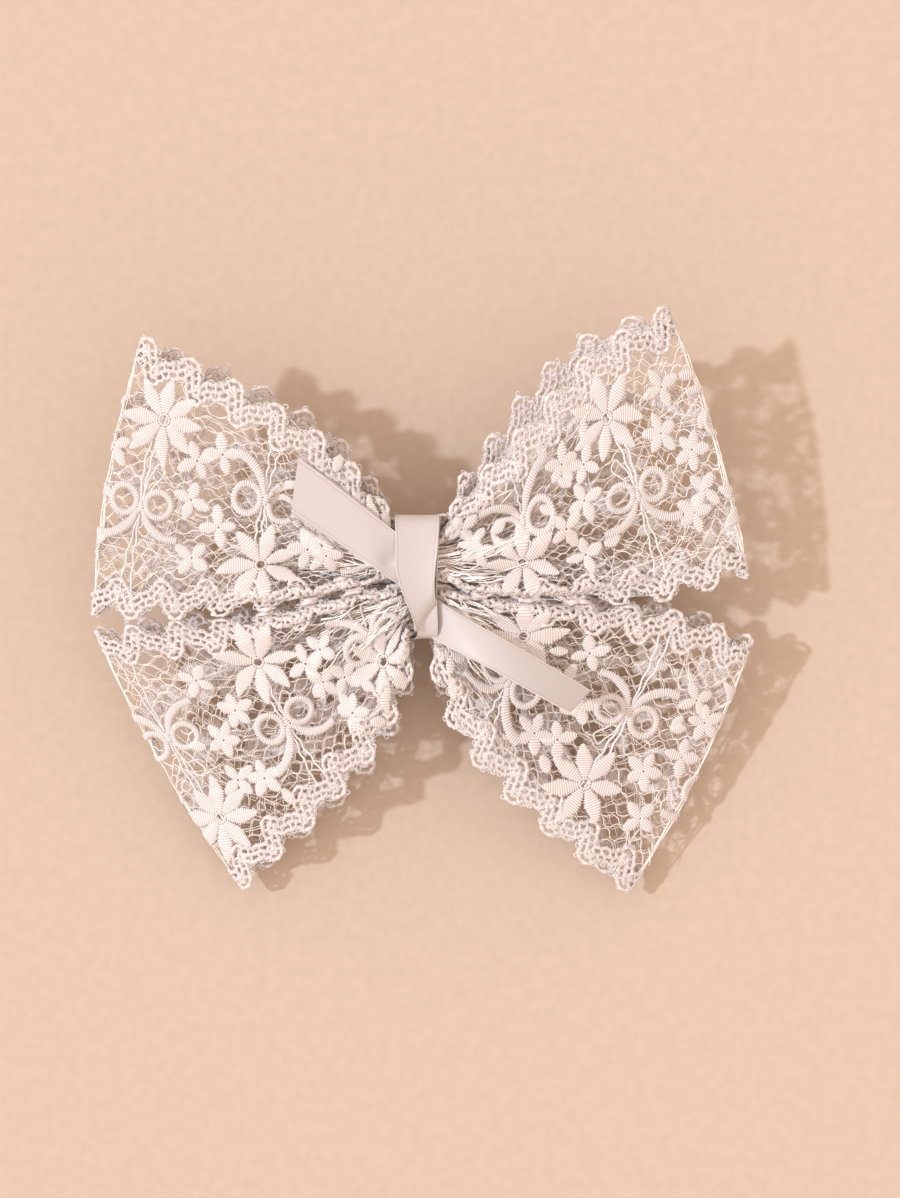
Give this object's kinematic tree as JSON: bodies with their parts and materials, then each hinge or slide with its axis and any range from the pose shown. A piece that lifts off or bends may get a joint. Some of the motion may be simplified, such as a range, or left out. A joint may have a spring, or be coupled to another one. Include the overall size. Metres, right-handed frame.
{
  "type": "hair bow",
  "caption": "Double lace hair bow with a tied satin ribbon knot and tails, on a spring barrette with a hinged clasp arm.",
  "frame": {"origin": "on the surface that the bow lies on, under the middle of its outline", "axes": "+X along the bow's width towards the catch, +Y towards the upper loops, +Z out of the front of the bow"},
  "size_m": [0.1496, 0.122, 0.0315],
  "materials": {
    "lace": "ivory machine lace on a net ground",
    "thread": "twisted sewing thread",
    "satin": "cream pink satin with woven edges",
    "glue": "hardened clear amber glue",
    "steel": "nickel plated spring steel"
  },
  "bodies": {
    "bow": {"upper_lace_left_loop": "lace", "upper_lace_right_loop": "lace", "lower_lace_left_loop": "lace", "lower_lace_right_loop": "lace", "upper_lace_waist": "lace", "lower_lace_waist": "lace", "upper_gathering_thread": "thread", "lower_gathering_thread": "thread", "ribbon_wrap": "satin", "ribbon_tail_left": "satin", "ribbon_tail_right": "satin", "glue_pad": "glue", "base_plate": "steel", "tension_bar": "steel", "hinge_pin": "steel", "catch_bridge": "steel", "catch_rivet": "steel"},
    "clasp_arm": {"clasp_arm": "steel"},
    "catch_prong_front": {"catch_prong_front": "steel"},
    "catch_prong_rear": {"catch_prong_rear": "steel"}
  },
  "joints": [
    {"name": "clasp_hinge", "type": "hinge", "parent": "bow", "child": "clasp_arm", "pos_m": [-0.02975, 0.00439, 0.0022], "axis": [0, 1, 0], "range_deg": [0, 80]},
    {"name": "front_prong_squeeze", "type": "hinge", "parent": "bow", "child": "catch_prong_front", "pos_m": [0.0465, 0.00272, 0.0096], "axis": [1, 0, 0], "range_deg": [0, 4], "stiffness_Nm_per_rad": 0.02},
    {"name": "rear_prong_squeeze", "type": "hinge", "parent": "bow", "child": "catch_prong_rear", "pos_m": [0.0465, 0.00606, 0.0096], "axis": [1, 0, 0], "range_deg": [-4, 0], "stiffness_Nm_per_rad": 0.02}
  ],
  "couplings": [
    {"joint": "rear_prong_squeeze", "follows": "front_prong_squeeze", "ratio": -1}
  ]
}
